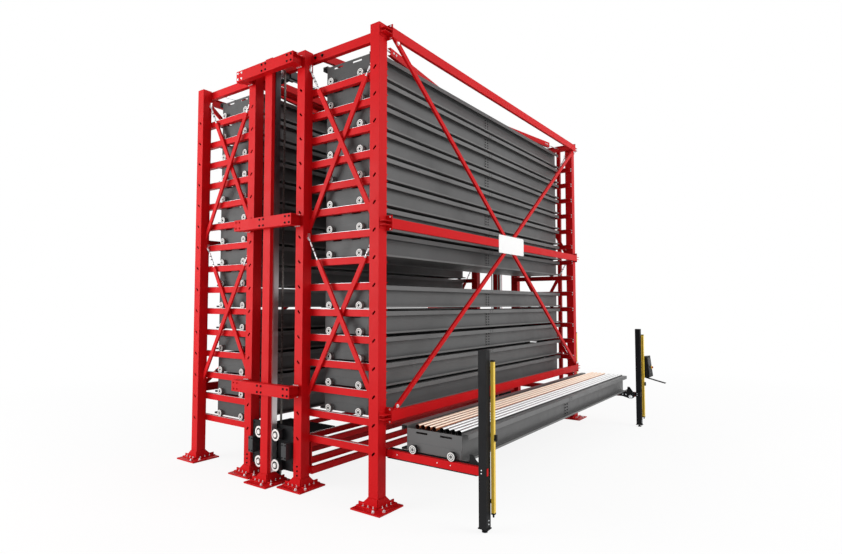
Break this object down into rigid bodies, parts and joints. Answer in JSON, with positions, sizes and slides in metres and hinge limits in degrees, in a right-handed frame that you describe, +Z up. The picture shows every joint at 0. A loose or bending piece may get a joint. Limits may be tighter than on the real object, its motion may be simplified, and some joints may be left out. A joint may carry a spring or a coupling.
{
  "type": "vertical lift storage system",
  "caption": "Vertical lift storage for long bars: two banks of grey trays in a tall red frame, a lift aisle between them and a pick-up table with light posts in front.",
  "frame": {"origin": "on the floor under the middle of the whole, with its table and control panel", "axes": "+X along the trays to the control panel's end, +Y from the table to the rear, +Z up"},
  "size_m": [7.272, 5.816, 5.97],
  "materials": {
    "red_paint": "gloss",
    "zinc_plate": "satin",
    "sign_face": "satin",
    "black_paint": "satin",
    "yellow_paint": "satin",
    "nylon": "matt",
    "grey_paint": "satin",
    "copper": "polished",
    "red_plastic": "gloss"
  },
  "bodies": {
    "frame": {"columns": "red_paint", "masts": "red_paint", "base_feet": "red_paint", "anchor_bolts": "zinc_plate", "rail_rungs": "red_paint", "end_braces": "red_paint", "turnbuckles": "zinc_plate", "cross_ties": "red_paint", "long_beams": "red_paint", "face_braces": "red_paint", "sign_plate": "sign_face", "lift_chains": "zinc_plate", "drive_unit": "black_paint", "table_rails": "red_paint", "table_guides": "black_paint", "light_posts": "black_paint", "light_bars": "yellow_paint"},
    "carriage": {"carriage_trucks": "black_paint", "carriage_girders": "red_paint"},
    "drive_shaft": {"drive_shaft": "zinc_plate"},
    "low_front_rollers": {"low_front_rollers": "nylon"},
    "low_rear_rollers": {"low_rear_rollers": "nylon"},
    "high_front_rollers": {"high_front_rollers": "nylon"},
    "high_rear_rollers": {"high_rear_rollers": "nylon"},
    "near_extractor": {"near_extractor": "zinc_plate"},
    "far_extractor": {"far_extractor": "zinc_plate"},
    "table_tray": {"table_tray": "grey_paint", "bar_stock": "copper"},
    "table_front_rollers": {"table_front_rollers": "zinc_plate"},
    "table_rear_rollers": {"table_rear_rollers": "zinc_plate"},
    "control_panel": {"control_panel": "black_paint"},
    "stop_button": {"stop_button": "red_plastic"},
    "front_tray_01": {"front_tray_01": "grey_paint"},
    "front_tray_02": {"front_tray_02": "grey_paint"},
    "front_tray_03": {"front_tray_03": "grey_paint"},
    "front_tray_04": {"front_tray_04": "grey_paint"},
    "front_tray_05": {"front_tray_05": "grey_paint"},
    "front_tray_06": {"front_tray_06": "grey_paint"},
    "front_tray_07": {"front_tray_07": "grey_paint"},
    "front_tray_08": {"front_tray_08": "grey_paint"},
    "front_tray_10": {"front_tray_10": "grey_paint"},
    "front_tray_11": {"front_tray_11": "grey_paint"},
    "front_tray_12": {"front_tray_12": "grey_paint"},
    "front_tray_13": {"front_tray_13": "grey_paint"},
    "front_tray_14": {"front_tray_14": "grey_paint"},
    "rear_tray_01": {"rear_tray_01": "grey_paint"},
    "rear_tray_02": {"rear_tray_02": "grey_paint"},
    "rear_tray_03": {"rear_tray_03": "grey_paint"},
    "rear_tray_04": {"rear_tray_04": "grey_paint"},
    "rear_tray_05": {"rear_tray_05": "grey_paint"},
    "rear_tray_06": {"rear_tray_06": "grey_paint"},
    "rear_tray_07": {"rear_tray_07": "grey_paint"},
    "rear_tray_08": {"rear_tray_08": "grey_paint"},
    "rear_tray_09": {"rear_tray_09": "grey_paint"},
    "rear_tray_10": {"rear_tray_10": "grey_paint"},
    "rear_tray_11": {"rear_tray_11": "grey_paint"},
    "rear_tray_12": {"rear_tray_12": "grey_paint"},
    "rear_tray_13": {"rear_tray_13": "grey_paint"},
    "rear_tray_14": {"rear_tray_14": "grey_paint"},
    "rear_tray_15": {"rear_tray_15": "grey_paint"}
  },
  "joints": [
    {"name": "lift", "type": "slide", "parent": "frame", "child": "carriage", "axis": [0, 0, 1], "range_m": [0, 4.76]},
    {"name": "shaft_turn", "type": "hinge", "parent": "frame", "child": "drive_shaft", "pos_m": [0, 0.812, 5.8], "axis": [1, 0, 0], "continuous": true},
    {"name": "low_front_rollers_turn", "type": "hinge", "parent": "carriage", "child": "low_front_rollers", "pos_m": [0, 0.6367, 0.26], "axis": [1, 0, 0], "continuous": true},
    {"name": "low_rear_rollers_turn", "type": "hinge", "parent": "carriage", "child": "low_rear_rollers", "pos_m": [0, 0.9873, 0.26], "axis": [1, 0, 0], "continuous": true},
    {"name": "high_front_rollers_turn", "type": "hinge", "parent": "carriage", "child": "high_front_rollers", "pos_m": [0, 0.6367, 0.668], "axis": [1, 0, 0], "continuous": true},
    {"name": "high_rear_rollers_turn", "type": "hinge", "parent": "carriage", "child": "high_rear_rollers", "pos_m": [0, 0.9873, 0.668], "axis": [1, 0, 0], "continuous": true},
    {"name": "near_extract", "type": "slide", "parent": "carriage", "child": "near_extractor", "axis": [0, 1, 0], "range_m": [-0.3, 0.3]},
    {"name": "far_extract", "type": "slide", "parent": "carriage", "child": "far_extractor", "axis": [0, 1, 0], "range_m": [-0.3, 0.3]},
    {"name": "table_slide", "type": "slide", "parent": "frame", "child": "table_tray", "axis": [0, 1, 0], "range_m": [0, 1.396]},
    {"name": "table_front_rollers_turn", "type": "hinge", "parent": "table_tray", "child": "table_front_rollers", "pos_m": [0, -2.052, 0.7423], "axis": [1, 0, 0], "continuous": true},
    {"name": "table_rear_rollers_turn", "type": "hinge", "parent": "table_tray", "child": "table_rear_rollers", "pos_m": [0, -1.516, 0.7423], "axis": [1, 0, 0], "continuous": true},
    {"name": "panel_swivel", "type": "hinge", "parent": "frame", "child": "control_panel", "pos_m": [3.33, -2.458, 1.17], "axis": [0, 0, 1], "range_deg": [-8, 40]},
    {"name": "stop_press", "type": "slide", "parent": "control_panel", "child": "stop_button", "axis": [0, 0.9925, -0.1219], "range_m": [0, 0.006], "stiffness_N_per_m": 400},
    {"name": "front_tray_01_slide", "type": "slide", "parent": "frame", "child": "front_tray_01", "axis": [0, 1, 0], "range_m": [0, 1.2]},
    {"name": "front_tray_02_slide", "type": "slide", "parent": "frame", "child": "front_tray_02", "axis": [0, 1, 0], "range_m": [0, 1.2]},
    {"name": "front_tray_03_slide", "type": "slide", "parent": "frame", "child": "front_tray_03", "axis": [0, 1, 0], "range_m": [0, 1.2]},
    {"name": "front_tray_04_slide", "type": "slide", "parent": "frame", "child": "front_tray_04", "axis": [0, 1, 0], "range_m": [0, 1.2]},
    {"name": "front_tray_05_slide", "type": "slide", "parent": "frame", "child": "front_tray_05", "axis": [0, 1, 0], "range_m": [0, 1.2]},
    {"name": "front_tray_06_slide", "type": "slide", "parent": "frame", "child": "front_tray_06", "axis": [0, 1, 0], "range_m": [0, 1.2]},
    {"name": "front_tray_07_slide", "type": "slide", "parent": "frame", "child": "front_tray_07", "axis": [0, 1, 0], "range_m": [0, 1.2]},
    {"name": "front_tray_08_slide", "type": "slide", "parent": "frame", "child": "front_tray_08", "axis": [0, 1, 0], "range_m": [0, 1.2]},
    {"name": "front_tray_10_slide", "type": "slide", "parent": "frame", "child": "front_tray_10", "axis": [0, 1, 0], "range_m": [0, 1.2]},
    {"name": "front_tray_11_slide", "type": "slide", "parent": "frame", "child": "front_tray_11", "axis": [0, 1, 0], "range_m": [0, 1.2]},
    {"name": "front_tray_12_slide", "type": "slide", "parent": "frame", "child": "front_tray_12", "axis": [0, 1, 0], "range_m": [0, 1.2]},
    {"name": "front_tray_13_slide", "type": "slide", "parent": "frame", "child": "front_tray_13", "axis": [0, 1, 0], "range_m": [0, 1.2]},
    {"name": "front_tray_14_slide", "type": "slide", "parent": "frame", "child": "front_tray_14", "axis": [0, 1, 0], "range_m": [0, 1.2]},
    {"name": "rear_tray_01_slide", "type": "slide", "parent": "frame", "child": "rear_tray_01", "axis": [0, 1, 0], "range_m": [-1.2, 0]},
    {"name": "rear_tray_02_slide", "type": "slide", "parent": "frame", "child": "rear_tray_02", "axis": [0, 1, 0], "range_m": [-1.2, 0]},
    {"name": "rear_tray_03_slide", "type": "slide", "parent": "frame", "child": "rear_tray_03", "axis": [0, 1, 0], "range_m": [-1.2, 0]},
    {"name": "rear_tray_04_slide", "type": "slide", "parent": "frame", "child": "rear_tray_04", "axis": [0, 1, 0], "range_m": [-1.2, 0]},
    {"name": "rear_tray_05_slide", "type": "slide", "parent": "frame", "child": "rear_tray_05", "axis": [0, 1, 0], "range_m": [-1.2, 0]},
    {"name": "rear_tray_06_slide", "type": "slide", "parent": "frame", "child": "rear_tray_06", "axis": [0, 1, 0], "range_m": [-1.2, 0]},
    {"name": "rear_tray_07_slide", "type": "slide", "parent": "frame", "child": "rear_tray_07", "axis": [0, 1, 0], "range_m": [-1.2, 0]},
    {"name": "rear_tray_08_slide", "type": "slide", "parent": "frame", "child": "rear_tray_08", "axis": [0, 1, 0], "range_m": [-1.2, 0]},
    {"name": "rear_tray_09_slide", "type": "slide", "parent": "frame", "child": "rear_tray_09", "axis": [0, 1, 0], "range_m": [-1.2, 0]},
    {"name": "rear_tray_10_slide", "type": "slide", "parent": "frame", "child": "rear_tray_10", "axis": [0, 1, 0], "range_m": [-1.2, 0]},
    {"name": "rear_tray_11_slide", "type": "slide", "parent": "frame", "child": "rear_tray_11", "axis": [0, 1, 0], "range_m": [-1.2, 0]},
    {"name": "rear_tray_12_slide", "type": "slide", "parent": "frame", "child": "rear_tray_12", "axis": [0, 1, 0], "range_m": [-1.2, 0]},
    {"name": "rear_tray_13_slide", "type": "slide", "parent": "frame", "child": "rear_tray_13", "axis": [0, 1, 0], "range_m": [-1.2, 0]},
    {"name": "rear_tray_14_slide", "type": "slide", "parent": "frame", "child": "rear_tray_14", "axis": [0, 1, 0], "range_m": [-1.2, 0]},
    {"name": "rear_tray_15_slide", "type": "slide", "parent": "frame", "child": "rear_tray_15", "axis": [0, 1, 0], "range_m": [-1.2, 0]}
  ],
  "couplings": [
    {"joint": "shaft_turn", "follows": "lift", "rad_per_m": 13.106},
    {"joint": "low_front_rollers_turn", "follows": "lift", "rad_per_m": -12.5},
    {"joint": "low_rear_rollers_turn", "follows": "lift", "rad_per_m": 12.5},
    {"joint": "high_front_rollers_turn", "follows": "lift", "rad_per_m": -12.5},
    {"joint": "high_rear_rollers_turn", "follows": "lift", "rad_per_m": 12.5},
    {"joint": "far_extract", "follows": "near_extract", "ratio": 1},
    {"joint": "table_front_rollers_turn", "follows": "table_slide", "rad_per_m": -19.231},
    {"joint": "table_rear_rollers_turn", "follows": "table_slide", "rad_per_m": -19.231}
  ]
}
